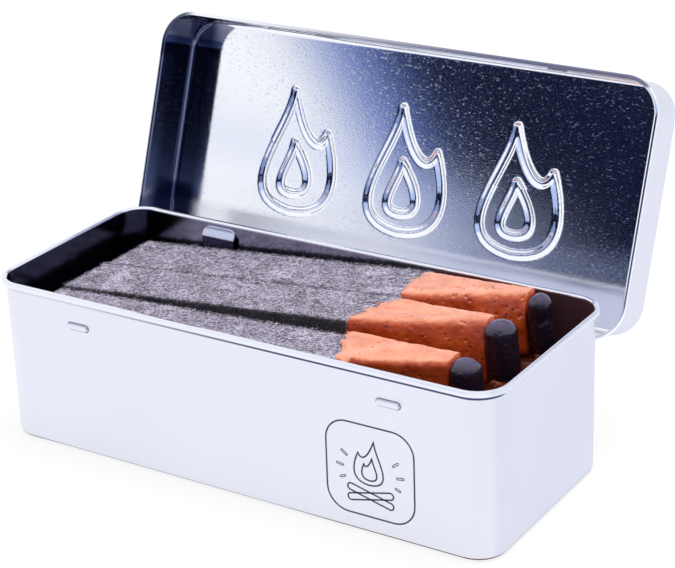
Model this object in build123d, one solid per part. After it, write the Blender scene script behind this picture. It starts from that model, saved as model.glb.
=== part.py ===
"""Hinged tin with a stack of dipped tinder sticks inside. All lengths are in millimetres.

Frame: the origin is the middle of the tin's underside, +X runs along the tin, the front is -Y
and +Z is up. The lid is drawn closed and then swung back to where it rests open.
"""
from build123d import *
import math
import os

# tin body
body_length = 105.0
body_width = 43.0
body_height = 32.2
sheet = 0.25
corner_radius = 5.5
base_bend = 1.1
rim_roll = 1.2
roll_sweep = 285.0
roll_facets = 9
bend_facets = 3

# snap nubs on the front wall
nub_length = 4.8
nub_height = 1.4
nub_rise = 0.5
nub_slope = 30.0
nub_hollow_slope = 15.0
nub_from_end = 19.5
nub_drop = 6.05

# lid
lid_depth = 10.9
lid_bend = 1.2
lid_bead = 0.8
lid_bend_facets = 5
lid_bead_facets = 7
lid_lift = 1.35
lid_corner = 6.4
side_clearance = 0.3
rear_clearance = 0.45
front_clearance = 0.4
lid_open_angle = 110.0

# row of stamped flames on the lid's panel, raised on the outside, their tips to the front
relief_rise = 0.4
relief_width = 2.0
relief_slope = 60.0
flames = 3
flame_height = 24.0
flame_spacing = 25.0
flame_facets = 9
flame_middle_share = 0.52
flame_side_shares = ((0.0, 0.0), (-0.46, 0.0), (-0.42, 0.36), (-0.27, 0.68))
flame_notch_shares = ((-0.27, 0.68), (-0.2, 0.5), (-0.04, 0.6), (0.1, 1.0))
flame_back_shares = ((0.1, 1.0), (0.1, 0.66), (0.62, 0.06), (0.0, 0.0))

# drop inside each flame
drop_height = 10.0
drop_lift = 3.6
drop_side_shares = ((0.0, 0.0), (-0.5, 0.0), (-0.42, 0.46), (0.08, 1.0))
drop_back_shares = ((0.08, 1.0), (0.1, 0.62), (0.58, 0.0), (0.0, 0.0))

# lid dimples that pass the nubs
dimple_length = 4.4
dimple_height = 1.4
dimple_rise = 0.45
dimple_above_edge = 1.9

# hinge straps
strap_sheet = 0.3
strap_width = 7.4
strap_from_end = 21.5
strap_below_rim = 1.2
strap_foot = 0.5
strap_slope = 1.3
strap_standoff = 0.75
strap_bend = 0.5
strap_crank = 0.25
strap_corner = 1.3
knuckle_clearance = 0.06
knuckle_wrap = 250.0
slot_clearance = 0.1
window_side_clearance = 0.3
window_top_clearance = 0.25

# sticks
columns = 3
layers = 2
stick_height_share = 0.3913
stick_clearance = 0.35
stick_gap = 0.5
layer_gap = 0.3
seat_gap = 0.2
tail_room = (5.85, 5.95, 6.75)
head_room = 6.0
lid_room = 0.1
pitch_shares = (0.8, 1.0, 1.0)
felt_edge = 0.9
head_length = 22.3
head_taper = 1.15
head_end_width = 5.4
head_bulge = 0.5
head_facets = 3
head_edge = 0.8
coat = 0.8
tip_diameter = 5.9
tip_overhang = 5.2
tip_edge = 1.2
tip_sides = 16
peg_width = 2.6
peg_inset = 1.4
peg_reach = 3.2

# striker block under the heads
striker_length = 11.0
striker_from_end = 24.25
striker_side_gap = 1.2
striker_coat = 0.5

overrun = 1.0

roll_reach = rim_roll - sheet
nub_spacing = body_length - 2 * nub_from_end
strap_spacing = body_length - 2 * strap_from_end
bead_radius = lid_bead / 2
side_gap = roll_reach + side_clearance
rear_gap = roll_reach + rear_clearance

# hinge axis at the centre of the lid's rear bead
hinge_y = body_width / 2 + rear_gap + bead_radius
lid_top = body_height + lid_lift + sheet
lid_edge = lid_top - lid_depth
hinge_z = lid_edge + bead_radius

# the front skirt swings inward as it rises past the rim, so its gap grows with the lid's depth
swing_drop = body_height - hinge_z
swing_length = hinge_y + body_width / 2
front_gap = roll_reach + swing_drop**2 / (2 * swing_length) + front_clearance

lid_length = body_length + 2 * (side_gap + sheet)
lid_width = body_width + front_gap + rear_gap + 2 * sheet
lid_middle = (rear_gap - front_gap) / 2

# the sticks fill the tin's width between the hinge straps and the same room in front
side_room = strap_sheet + strap_standoff + stick_clearance
inner_width = body_width - 2 * (sheet + side_room)
stick_width = (inner_width - (columns - 1) * stick_gap) / columns
stick_height = stick_height_share * body_height
stick_length = body_length - 2 * sheet - min(tail_room) - head_room
felt_length = stick_length - head_length - tip_overhang
striker_start = body_length / 2 - sheet - striker_from_end

# the steepest sticks end just under the closed lid
stack_height = layers * stick_height + (layers - 1) * layer_gap
tip_rise = body_height + lid_lift - lid_room - sheet - seat_gap - stack_height + head_taper
steepest = math.degrees(math.atan2(tip_rise, stick_length - tip_edge))


def arc_points(centre, radius, start, sweep, steps):
    """Points along an arc, both ends included."""
    angles = [math.radians(start + sweep * step / steps) for step in range(steps + 1)]
    x, y = centre
    return [(x + radius * math.cos(angle), y + radius * math.sin(angle)) for angle in angles]


def wall_section(height, bend, roll, facets):
    """Section of a drawn wall: bend at the foot, upright sheet, outward roll at the top."""
    bend_steps, roll_steps = facets
    outer = roll / 2
    inner = outer - sheet
    top = (inner, height - outer)
    foot = (-bend, bend)
    outside = arc_points(foot, bend, -90, 90, bend_steps)
    outside += arc_points(top, inner, 180, -roll_sweep, roll_steps)
    inside = arc_points(top, outer, 180 - roll_sweep, roll_sweep, roll_steps)
    inside += arc_points(foot, bend - sheet, 0, -90, bend_steps)
    return make_face(Polyline(outside + inside, close=True))


def ring_of(section, length, width, radius):
    """Carry a section round a rounded rectangle; its x is measured out from the outer face."""
    upright = Plane.XZ * section
    long_run = extrude(upright, length / 2 - radius, both=True)
    short_run = extrude(upright, width / 2 - radius, both=True)
    corner = revolve(Pos(radius, 0, 0) * upright, Axis.Z, 90)
    pieces = []
    for turn in (0, 180):
        pieces.append(Rot(0, 0, turn) * Pos(length / 2, 0, 0) * short_run)
        pieces.append(Rot(0, 0, turn + 90) * Pos(width / 2, 0, 0) * long_run)
    middle_x = length / 2 - radius
    middle_y = width / 2 - radius
    for turn, x_sign, y_sign in ((0, 1, 1), (90, -1, 1), (180, -1, -1), (270, 1, -1)):
        pieces.append(Pos(x_sign * middle_x, y_sign * middle_y, 0) * Rot(0, 0, turn) * corner)
    return pieces


def drawn_tray(size, radius, bend, roll, facets):
    """One-piece drawn tray with a flat floor, an upright wall and an outward rolled rim."""
    length, width, height = size
    floor = RectangleRounded(length - 2 * bend, width - 2 * bend, radius - bend)
    pieces = ring_of(wall_section(height, bend, roll, facets), length, width, radius)
    return extrude(floor, sheet) + pieces


def nub(length, height, rise):
    """Pressed oval nub, standing along +Z from the sheet's outer face, with its hollow."""
    outer = extrude(SlotOverall(length, height), rise, taper=nub_slope)
    hollow_face = SlotOverall(length - 2 * sheet, height - 2 * sheet)
    hollow = Pos(0, 0, -sheet) * extrude(hollow_face, rise, taper=nub_hollow_slope)
    return outer, hollow


def strap_path():
    """Middle line of a hinge strap, in the plane across the hinge (Y to the right, Z up)."""
    half = strap_sheet / 2
    wall_face = body_width / 2 - sheet
    knuckle = bead_radius + knuckle_clearance + half
    run_z = hinge_z + knuckle
    top_z = body_height - strap_below_rim
    flat_y = wall_face - half
    plate_y = flat_y - strap_standoff
    points = [
        (flat_y, top_z),
        (flat_y, top_z - strap_foot),
        (plate_y, top_z - strap_foot - strap_slope),
        (plate_y, run_z),
        (hinge_y, run_z),
    ]
    line = FilletPolyline(points, radius=(strap_crank, strap_crank, strap_bend))
    wrap = CenterArc((hinge_y, hinge_z), knuckle, 90, -knuckle_wrap)
    return line, wrap


def make_strap(x):
    """Cranked strap that runs down the wall, out through its slot and round the lid's bead."""
    line, wrap = strap_path()
    section = trace([line, wrap], strap_sheet)
    strap = extrude(Plane.YZ * section, strap_width / 2, both=True)
    top_z = body_height - strap_below_rim
    height = top_z - hinge_z + 2 * strap_corner + lid_bead
    outline = Plane.XZ * RectangleRounded(strap_width, height, strap_corner)
    outline = Pos(0, body_width / 2, top_z - height / 2) * outline
    strap &= extrude(outline, body_width / 2, both=True)
    return Pos(x, 0, 0) * strap


def make_body():
    """Drawn shell with two slots for the hinge straps and two snap nubs."""
    size = (body_length, body_width, body_height)
    facets = (bend_facets, roll_facets)
    body = drawn_tray(size, corner_radius, base_bend, rim_roll, facets)
    knuckle_top = hinge_z + bead_radius + knuckle_clearance
    slot_width = strap_width + 2 * slot_clearance
    slot_height = strap_sheet + 2 * slot_clearance
    outer, hollow = nub(nub_length, nub_height, nub_rise)
    nub_z = body_height - nub_drop
    for side in (-1, 1):
        slot = Box(slot_width, 2 * overrun, slot_height)
        slot_z = knuckle_top + strap_sheet / 2
        body -= Pos(side * strap_spacing / 2, body_width / 2, slot_z) * slot
        seat = Pos(side * nub_spacing / 2, -body_width / 2, nub_z) * Rot(90, 0, 0)
        body += seat * outer
        body -= seat * hollow
    return body


def window_cuts():
    """Openings in the rear skirt that let the strap knuckles round the bead."""
    knuckle_outer = bead_radius + knuckle_clearance + strap_sheet
    height = knuckle_outer + window_top_clearance
    width = strap_width + 2 * window_side_clearance
    skirt_y = body_width / 2 + rear_gap + sheet / 2
    bead = Rot(0, 90, 0) * Cylinder(bead_radius, width)
    cut = Pos(0, skirt_y, hinge_z + height / 2) * Box(width, 2 * sheet, height)
    cut -= Pos(0, hinge_y, hinge_z) * bead
    return [Pos(side * strap_spacing / 2, 0, 0) * cut for side in (-1, 1)]


def curve_points(controls, steps):
    """Points along a cubic curve, without its end."""
    points = []
    for step in range(steps):
        after = step / steps
        before = 1 - after
        weights = (before**3, 3 * before**2 * after, 3 * before * after**2, after**3)
        x = sum(weight * control[0] for weight, control in zip(weights, controls))
        y = sum(weight * control[1] for weight, control in zip(weights, controls))
        points.append((x, y))
    return points


def curved_face(curves, height, foot):
    """Face inside cubic curves given as shares of a height, its top towards -Y."""
    points = []
    for controls in curves:
        points += curve_points(controls, flame_facets)
    line = [(-height * x, -height * y - foot) for x, y in points]
    return make_face(Polyline(line, close=True))


def stamped(face):
    """Ridge pressed up out of a flat panel along a face's edge, and the groove behind it."""
    solids = []
    for half in (relief_width / 2, relief_width / 2 - sheet):
        outside = offset(face, half, kind=Kind.INTERSECTION)
        inside = offset(face, -half, kind=Kind.INTERSECTION)
        solids.append(extrude(outside - inside, relief_rise, taper=relief_slope))
    ridge, groove = solids
    return ridge, Pos(0, 0, -sheet) * groove


def make_lid():
    """Drawn lid with its stamping, hinge windows and dimples, swung open about its rear bead."""
    size = (lid_length, lid_width, lid_depth)
    facets = (lid_bend_facets, lid_bead_facets)
    tray = drawn_tray(size, lid_corner, lid_bend, lid_bead, facets)
    lid = Pos(0, lid_middle, lid_top) * Rot(180, 0, 0) * tray
    lid -= window_cuts()
    front = lid_middle - lid_width / 2
    outer, hollow = nub(dimple_length, dimple_height, dimple_rise)
    for side in (-1, 1):
        seat = Pos(side * nub_spacing / 2, front + sheet, lid_edge + dimple_above_edge)
        seat *= Rot(-90, 0, 0)
        lid += seat * outer
        lid -= seat * hollow
    foot = -flame_middle_share * flame_height
    flame_curves = (flame_side_shares, flame_notch_shares, flame_back_shares)
    outer_flame = curved_face(flame_curves, flame_height, foot)
    drop = curved_face((drop_side_shares, drop_back_shares), drop_height, foot + drop_lift)
    for face in (outer_flame, drop):
        ridge, groove = stamped(face)
        for flame in range(flames):
            flame_x = (flame - (flames - 1) / 2) * flame_spacing
            panel = Pos(flame_x, lid_middle, lid_top)
            lid += panel * ridge
            lid -= panel * groove
    return lid.rotate(Axis((0, hinge_y, hinge_z), (-1, 0, 0)), lid_open_angle)


def head_outline(inset):
    """Plan of the dipped head: straight rear side, front side drawn in to the tip."""
    rear = stick_width / 2 - inset
    front = -stick_width / 2 + inset
    end = head_length - inset
    end_front = rear - head_end_width + 2 * inset
    line = [(0, rear), (end, rear)]
    for step in range(head_facets + 1):
        share = 1 - step / head_facets
        bulge = 4 * head_bulge * share * (1 - share)
        line.append((end * share, front + (end_front - front) * share - bulge))
    return make_face(Polyline(line, close=True))


def head_block(inset):
    """Dipped head lying along +X, its top falling towards the tip."""
    block = Pos(0, 0, inset) * extrude(head_outline(inset), stick_height)
    fall = math.degrees(math.atan2(head_taper, head_length))
    top = Plane((0, 0, stick_height)).rotated((0, fall, 0)).offset(-inset)
    return split(block, bisect_by=top, keep=Keep.BOTTOM)


def stick_pieces():
    """Felt core, dipped coat and striking tip of one stick, lying along +X from its tail."""
    tip_radius = tip_diameter / 2
    tip_height = stick_height - head_taper
    block = Pos(felt_length / 2, 0, stick_height / 2) * Box(felt_length, stick_width, stick_height)
    block = chamfer(block.edges().filter_by(Axis.X), felt_edge)
    nose = Pos(felt_length, 0, 0) * head_block(coat)
    head = head_block(0)
    ends = head.faces().sort_by(Axis.Z)
    edges = ends[0].edges() + ends[-1].edges()
    head = chamfer([edge for edge in edges if edge.center().X > coat], head_edge)
    head = Pos(felt_length, 0, 0) * head
    tip_x = felt_length + head_length + tip_overhang - tip_radius
    tip_y = stick_width / 2 - tip_radius
    tip = extrude(RegularPolygon(tip_radius, tip_sides), tip_height / 2, both=True)
    ends = tip.faces().sort_by(Axis.Z)
    tip = chamfer(ends[0].edges() + ends[-1].edges(), tip_edge)
    tip = Pos(tip_x, tip_y, tip_height / 2) * tip
    peg_start = felt_length + head_length - 2 * coat
    peg = Box(peg_reach + coat, peg_width, tip_height - 2 * peg_inset)
    peg_x = peg_start + (peg_reach + coat) / 2
    core = block + nose + Pos(peg_x, tip_y, tip_height / 2) * peg
    tip -= core
    coat_shell = head - core - tip
    return {"felt_core": core, "head_coat": coat_shell, "striking_tip": tip}


def column_middle(column):
    return (column - (columns - 1) / 2) * (stick_width + stick_gap)


def stick_start(column):
    return -body_length / 2 + sheet + tail_room[column]


def stick_pitch(column):
    return steepest * pitch_shares[column]


def place_stick(shape, column, layer):
    """Lay a stick in its column, tail on the floor and head raised, with its layer's lift."""
    lift = layer * (stick_height + layer_gap)
    seat = Pos(stick_start(column), column_middle(column), sheet + seat_gap)
    return seat * Rot(0, -stick_pitch(column), 0) * Pos(0, 0, lift) * shape


def contact_height(column):
    """Height of a lower stick's underside above the near edge of the striker block."""
    run = striker_start - stick_start(column)
    return sheet + seat_gap + run * math.tan(math.radians(stick_pitch(column)))


def make_striker():
    """Wedge-topped block on the floor, and the rough layer on its top."""
    span = body_width - 2 * sheet - 2 * striker_side_gap
    front_edge = column_middle(0) + stick_width / 2
    rear_edge = column_middle(columns - 1) + stick_width / 2
    front_top = contact_height(0) - layer_gap
    rear_top = contact_height(columns - 1) - layer_gap
    slope = (rear_top - front_top) / (rear_edge - front_edge)
    middle_top = front_top - front_edge * slope
    middle_x = striker_start + striker_length / 2
    tall = body_height / 2
    blank = Pos(middle_x, 0, sheet + tall / 2) * Box(striker_length, span, tall)
    fall = math.degrees(math.atan(slope))
    coat_top = Plane((middle_x, 0, middle_top)).rotated((fall, 0, 0))
    block_top = coat_top.offset(-striker_coat)
    block = split(blank, bisect_by=block_top, keep=Keep.BOTTOM)
    layer = split(blank, bisect_by=block_top, keep=Keep.TOP)
    layer = split(layer, bisect_by=coat_top, keep=Keep.BOTTOM)
    return block, layer


os.makedirs("parts", exist_ok=True)

nodes = {"tin_body": make_body(), "lid_shell": make_lid()}
nodes["hinge_strap_left"] = make_strap(-strap_spacing / 2)
nodes["hinge_strap_right"] = make_strap(strap_spacing / 2)
nodes["striker_block"], nodes["striker_surface"] = make_striker()

column_names = ("front", "middle", "rear")
layer_names = ("lower", "upper")
pieces = stick_pieces()
for layer in range(layers):
    for column in range(columns):
        for kind, shape in pieces.items():
            name = f"{layer_names[layer]}_{column_names[column]}_{kind}"
            nodes[name] = place_stick(shape, column, layer)

for name, shape in nodes.items():
    export_step(shape, f"parts/{name}.step")
    print(name, round(shape.volume, 2), len(shape.solids()), shape.is_valid)
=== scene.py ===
"""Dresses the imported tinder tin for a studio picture.

Named lengths are millimetres, and MM turns them into the frame's metres. The camera, the lamp and
the table are in metres. A pair of tones is the darker one first, a span is start and end of a fade.
"""
import math

import bpy
import numpy as np
from mathutils import Matrix, Vector, noise


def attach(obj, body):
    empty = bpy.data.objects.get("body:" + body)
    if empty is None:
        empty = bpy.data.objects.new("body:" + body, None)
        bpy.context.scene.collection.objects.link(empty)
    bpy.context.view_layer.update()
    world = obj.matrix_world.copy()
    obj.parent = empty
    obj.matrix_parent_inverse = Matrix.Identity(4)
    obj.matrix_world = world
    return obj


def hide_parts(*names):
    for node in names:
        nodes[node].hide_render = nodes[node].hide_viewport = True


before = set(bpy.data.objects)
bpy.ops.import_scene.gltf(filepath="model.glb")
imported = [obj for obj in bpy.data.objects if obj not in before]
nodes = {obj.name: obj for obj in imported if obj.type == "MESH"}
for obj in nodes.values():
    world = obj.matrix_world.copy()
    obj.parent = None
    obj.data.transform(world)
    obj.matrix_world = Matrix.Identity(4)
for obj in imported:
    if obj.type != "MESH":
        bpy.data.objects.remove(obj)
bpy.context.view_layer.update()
scene = bpy.context.scene
scene.view_settings.view_transform = "Standard"

MM = 0.001


def rgb(red, green, blue):
    return (red, green, blue, 1.0)


# camera, lamp and table
AZIMUTH = math.radians(32.89)
ELEVATION = math.radians(23.16)
ROLL = math.radians(-2.07)
DISTANCE = 0.36887
TARGET = Vector((0.00989, 0, 0.03515))
LENS = 110.0
CLIP = (0.01, 20.0)
KEY_PLACE = (0.10, 0.08, 0.80)
KEY_AIM = (0, 0, 0.02)
KEY_SIZE = 0.5
KEY_POWER = 7.0
TABLE_HALF = 3.0
TABLE_DROP = 0.00005
TABLE_WHITE_SHARE = 0.86

# tin
BODY_LENGTH = 105.0
BODY_WIDTH = 43.0
BODY_HEIGHT = 32.2
BODY_CORNER = 5.5
RIM_ROLL = 1.2
NUB_SPACING = 66.0
NUB_HEIGHT = 26.15
NUB_HALF = 1.7
NUB_RADIUS = 0.7
SHEET = 0.25

# lid
LID_LENGTH = 108.0
LID_WIDTH = 47.13
LID_MIDDLE = -0.415
LID_TOP = 33.8
LID_DEPTH = 10.9
LID_CORNER = 6.4
LID_CORNER_FLOOR = 0.1
LID_CORNER_STEPS = 16
LID_BEND = 1.2
LID_BEND_STEPS = 10
LID_WALL_ROWS = 36
LID_BEAD = 0.8
LID_BEAD_TRIM = 0.02
LID_BEAD_TURN = (180, -112)
LID_BEAD_STEPS = 26
LID_GRID = 0.25
LID_OPEN = math.radians(110.0)
HINGE_Y = 23.3
HINGE_Z = 23.3
STRAP_SPACING = 62.0
WINDOW_HALF = 4.0
WINDOW_HEIGHT = 1.01

# flames and drops stamped in the lid, dimples in its skirt
FLAME_HEIGHT = 24.0
FLAME_SPACING = 25.0
FLAME_FOOT = 12.48
FLAME_STEPS = 16
FLAME_SIDES = (
    ((0.0, 0.0), (-0.46, 0.0), (-0.42, 0.36), (-0.27, 0.68)),
    ((-0.27, 0.68), (-0.2, 0.5), (-0.04, 0.6), (0.1, 1.0)),
    ((0.1, 1.0), (0.1, 0.66), (0.62, 0.06), (0.0, 0.0)),
)
DROP_HEIGHT = 10.0
DROP_FOOT = 8.88
DROP_STEPS = 24
DROP_SIDES = (
    ((0.0, 0.0), (-0.5, 0.0), (-0.42, 0.46), (0.08, 1.0)),
    ((0.08, 1.0), (0.1, 0.62), (0.58, 0.0), (0.0, 0.0)),
)
RELIEF_RISE = 0.395
RELIEF_HALF = 1.0
RELIEF_RUN = 0.75
DIMPLE_HALF = 1.5
DIMPLE_RADIUS = 0.7
DIMPLE_REACH = 1.3
DIMPLE_RISE = 0.45
DIMPLE_UP = 1.9

# printed emblem
EMBLEM_X = 29.0
EMBLEM_Z = 12.2
EMBLEM_SIZE = 17.5
EMBLEM_CORNER = 4.2
EMBLEM_LINE = 0.3
EMBLEM_PROUD = 0.02
FIRE_FOOT = (0.0, -2.6)
FIRE_HEIGHT = 8.6
INNER_FIRE_FOOT = (0.0, -1.7)
INNER_FIRE_HEIGHT = 4.4
LOG_SIZE = (9.4, 1.3)
LOG_TILT = 14
LOG_PLACE = (0.0, -4.7)
SPARKS = ((5.1, 2.6, 1.5, 38), (6.0, 0.2, 1.5, 8), (5.5, -2.1, 1.2, -22))
SPARK_HEIGHT = 0.34
SPARK_LINE = 0.16
MITRE_FLOOR = 0.4
MITRE_LIMIT = 2.0

# sticks, one value for each column from the front
COLUMNS = ("front", "middle", "rear")
LAYERS = ("lower", "upper")
TAIL_ROOM = (5.85, 5.95, 6.75)
PITCHES = (4.3228, 5.4035, 5.4035)
STICK_WIDTH = 12.9
STICK_GAP = 0.5
STICK_HEIGHT = 12.6
LAYER_GAP = 0.3
SEAT_GAP = 0.2
CORNER_STEPS = 8
CAP_HOLE = 0.02
SEED_SHIFT = Vector((13.7, 7.1, 3.3))

# felt; mesh counts are around and along, for the lower and the upper layer
FELT_LENGTH = 65.15
FELT_FRONT_INSET = (0.22, 0.38, -0.04)
FELT_REAR_INSET = (0.48, -0.04, 0.22)
FELT_SAG = (0.55, 0.0, 0.0)
FELT_NARROWING = (1.0, 0.0, 0.0)
FELT_MESH = ((90, 110), (200, 300))
FELT_INSET = 0.22
FELT_EDGE = 0.7
FELT_TAIL_RINGS = 10
FELT_END_RINGS = 4
FELT_WAVES = ((0.12, 0.14), (0.7, 0.10), (2.6, 0.16))
FELT_MOVE = (-0.5, 0.22)
FELT_SIDE_MOVE = 0.04
FIBRE_COUNTS = (1500, 15000)
FIBRE_LENGTH = (0.35, 1.25)
FIBRE_RISE = (0.02, 0.32)
FIBRE_RISE_POWER = 1.3
FIBRE_BEND = 0.5
FIBRE_TWIST = 5
FIBRE_WIDTH = (0.05, 0.10)
FIBRE_ROOT = 0.04
FIBRE_DROOP = 0.6
FIBRE_POINT = 0.8
FIBRE_STEPS = 3

# dipped heads
HEAD_LENGTH = 22.3
HEAD_TAPER = 1.15
HEAD_END_WIDTH = 5.4
HEAD_BULGE = 0.5
HEAD_LEAN = (0.4, 2.3, 2.6)
LEAN_FLOOR = 0.35
DIP_NEAR = (6.0, -1.3, 1.0)
DIP_FAR = (0.9, 3.6, 1.2)
DIP_BLEND = 9.0
COAT_MESH = ((90, 60), (220, 150))
COAT_LIP = 1.1
COAT_INSET = 0.05
COAT_LIP_INSET = 0.12
COAT_EDGE = 1.25
COAT_END_RINGS = 4
COAT_WAVES = ((0.22, 3, 0.16), (1.1, 2, 0.05))
COAT_MOVE = 0.1
RAGGED_SCALE = 1.1
RAGGED_RING = 3
RAGGED_REACH = 1.3
RAGGED_FADE = 3.0
PIT_COUNTS = (40, 150)
PIT_DEPTH = (0.06, 0.26)
PIT_WIDTH = (0.14, 0.34)

# striking tips; looks are the share of the full width and the height of the lumps
TIP_OVERHANG = 5.2
TIP_DIAMETER = 5.9
TIP_MESH = ((48, 40), (96, 90))
TIP_CAP = 2.5
TIP_CAP_POWER = 2.2
TIP_FIT = 0.985
TIP_SQUARENESS = 0.9
TIP_FLATNESS = 0.3
TIP_LUMP_SCALES = (0.35, 1.5)
TIP_GRAIN = 0.05
TIP_MOVE = 0.02
TIP_LOOKS = ((0.97, 0.12), (1.0, 0.10), (0.78, 0.45))

# tones
WHITE = rgb(1.0, 1.0, 1.0)
TIN_TONES = (rgb(0.83, 0.85, 0.96), rgb(0.88, 0.89, 0.98))
# painted shade on the right end of the tin's outside
TIN_RIGHT_SHADE_TONE = rgb(0.74, 0.765, 0.89)
INNER_TONES = (rgb(0.30, 0.30, 0.38), rgb(0.50, 0.50, 0.60))
# painted shade at the left end inside the tin
INNER_LEFT_SHADE_TONE = rgb(0.055, 0.060, 0.100)
# maroon painted reflection of the orange heads inside the tin's right end
HEAD_REFLECTION_TONE = rgb(0.12, 0.030, 0.038)
# painted shade in the creases round the nubs
CREASE_SHADE_TONE = rgb(0.10, 0.12, 0.2)
SHADE_TONE = rgb(0.02, 0.05, 0.13)
LID_TONES = (rgb(0.90, 0.93, 1.0), rgb(0.96, 0.97, 1.0))
# painted dark reflection on the lid's left wall
LID_WALL_REFLECTION_TONE = rgb(0.10, 0.115, 0.2)
# painted shade on the lid's front bead
LID_BEAD_SHADE_TONE = rgb(0.10, 0.105, 0.22)
LID_OUTER_TONES = (rgb(0.74, 0.76, 0.89), rgb(0.80, 0.815, 0.93))
# painted shade on the strap plate, painted highlight on its crank
STRAP_SHADE_AND_HIGHLIGHT_TONES = (rgb(0.06, 0.06, 0.10), rgb(0.60, 0.65, 0.84))
FELT_TONES = (rgb(0.030, 0.026, 0.036), rgb(0.58, 0.53, 0.67))
FIBRE_TONES = (rgb(0.045, 0.040, 0.052), rgb(0.78, 0.72, 0.90))
# painted shade on the felt's front and rear faces
FLANK_SHADE_TONE = rgb(0.012, 0.011, 0.015)
COAT_TONES = (rgb(0.36, 0.040, 0.005), rgb(0.54, 0.078, 0.011))
# painted sheen on the faces of the heads that look up
TOP_SHEEN_TONE = rgb(0.75, 0.32, 0.20)
# painted shade in the pits of the heads
PIT_SHADE_TONE = rgb(0.09, 0.014, 0.006)
TIP_TONES = (rgb(0.010, 0.005, 0.012), rgb(0.024, 0.013, 0.032))
# painted reflection on the tops of the striking tips
TIP_TOP_SHEEN_TONE = rgb(0.046, 0.036, 0.092)
BOARD_TONES = (rgb(0.20, 0.15, 0.10), rgb(0.34, 0.27, 0.19))
GRIT_TONES = (rgb(0.03, 0.015, 0.012), rgb(0.12, 0.07, 0.06))
PRINT_TONES = (rgb(0.022, 0.026, 0.055), rgb(0.060, 0.068, 0.115))
TABLE_TONE = rgb(0.9, 0.9, 0.9)
MIRROR_BLUE = rgb(0.13, 0.21, 0.58)
MIRROR_DARK = rgb(0.005, 0.007, 0.026)
MIRROR_GLOW = rgb(0.30, 0.38, 0.68)
MIRROR_BAND = rgb(0.62, 0.68, 0.88)
MIRROR_SKY = rgb(0.45, 0.55, 0.86)

# noises: scale, detail and roughness; bumps: strength and depth
SATIN_CLOUD = (35.0, 3.0, 0.5)
SATIN_GRAIN = (9000.0, 2.0, 0.5)
SATIN_ROUGH = (0.36, 0.46)
SATIN_BUMP = (0.08, 0.02)
ROLLED_STRETCH = (0.45, 1.0, 1.0)
ROLLED_GRAIN = (4200.0, 2.0, 0.7)
ROLLED_SPECK = (3000.0, 2.0, 0.6)
ROLLED_CLOUD = (28.0, 4.0, 0.6)
ROLLED_ROUGH = (0.05, 0.09)
ROLLED_BUMP = (0.10, 0.03)
SPECK_RANGE = (0.60, 0.74)
SPECK_ROUGH = 0.05
STREAK_STRETCH = (900.0, 900.0, 9000.0)
STREAK_NOISE = (1.0, 4.0, 0.6)
STREAK_ROUGH = (0.14, 0.26)
STREAK_BUMP = (0.1, 0.02)
FELT_CLUMP = (240.0, 5.0, 0.65)
FELT_FINE = (2000.0, 3.0, 0.75)
FELT_BUMP = (0.8, 0.15)
COAT_CLOUD = (230.0, 4.0, 0.6)
COAT_FINE = (1800.0, 3.0, 0.6)
COAT_CELL = 900.0
COAT_BUMP = (0.8, 0.16)
TIP_CLOUD = (500.0, 4.0, 0.6)
TIP_LUMP = (1500.0, 2.0, 0.5)
TIP_BUMP = (0.8, 0.22)
BOARD_NOISE = (900.0, 4.0, 0.7)
GRIT_NOISE = (3500.0, 4.0, 0.7)
GRIT_BUMP = (0.7, 0.1)
PRINT_WEAR = (1500.0, 3.0, 0.6)

# where the tin's tones lie, with its painted shade and painted reflection
INNER_DROP = 0.4
INNER_LEFT = (-36.0, -47.0)
INNER_GLOSS = 0.24
HEAD_REFLECTION_RUN = (6.0, 26.0)
HEAD_REFLECTION_SHARE = 0.9
HEAD_REFLECTION_ROUGH = 0.3
HEAD_REFLECTION_DULL = 0.7
RIM_EASE = 0.05
RIM_GLOSS = 0.24
RIGHT_RUN = (BODY_LENGTH / 2 - 1.5, BODY_LENGTH / 2 - 0.2)
CREASE_SPAN = (0.16, 0.05)
CREASE_SHARE = 0.75
SHADE_DROP = 0.42
SHADE_SPAN = (0.26, 0.12)
SHADE_RUN = (-45.0, 15.0)
SHADE_SHARES = (0.15, 0.95)
SHADE_FRONT = (-15.5, -18.0)

# where the lid's and the straps' tones, painted shade, painted highlight and painted reflections lie,
# with the lid open
WALL_SPAN = (-46.8, -50.0)
WALL_TOP = (57.0, 60.0)
WALL_FOOT = (35.0, 31.0)
WALL_SHARE = 0.72
BEAD_SPAN = (66.4, 67.0)
BEAD_RUN = (-45.0, 25.0)
BEAD_SHARE = 0.85
DULL_SPAN = (37.5, 31.0)
DULL_ROUGH = 0.06
# less metallic patch near the hinge, a painted reflection
PALE_REFLECTION_SPAN = (30.0, 27.5)
PALE_REFLECTION_RUN = (14.0, -4.0)
PALE_REFLECTION_END = (-50.0, -46.8)
PALE_REFLECTION_SHARE = 0.6
CRANK_SPAN = (BODY_HEIGHT - 3.3, BODY_HEIGHT - 2.9)
CRANK_RUN = (0.0, 10.0)
CRANK_RIGHT_SHARE = 0.15
CRANK_DULL = 0.8

# directions in which the mirrored surroundings change, as parts of a unit vector
MIRROR_SLANT = 0.75
DARK_SPAN = (-0.294, -0.256)
BLUE_SPAN = (-0.328, -0.288)
GLOW_SPAN = (0.228, 0.205)
GLOW_SHARE = 0.75
BAND_TOP = (0.260, 0.246)
BAND_FOOT = (0.228, 0.241)
BAND_RUN = (-0.385, -0.47)
BAND_SHARE = 0.7
SKY_SPAN = (0.34, 0.41)
SKY_RUN = (-0.50, -0.44)
SKY_TOP = (0.5, 0.75)
BEHIND_SPAN = (-0.3, 0.1)

# soft light from all round, stronger from the rear and from above
SOFT_DEPTH = (-1.0, 0.8)
SOFT_DEPTH_LIGHT = (0.22, 0.50)
SOFT_HEIGHT = (-0.2, 1.0)
SOFT_HEIGHT_LIGHT = 0.35


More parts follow.
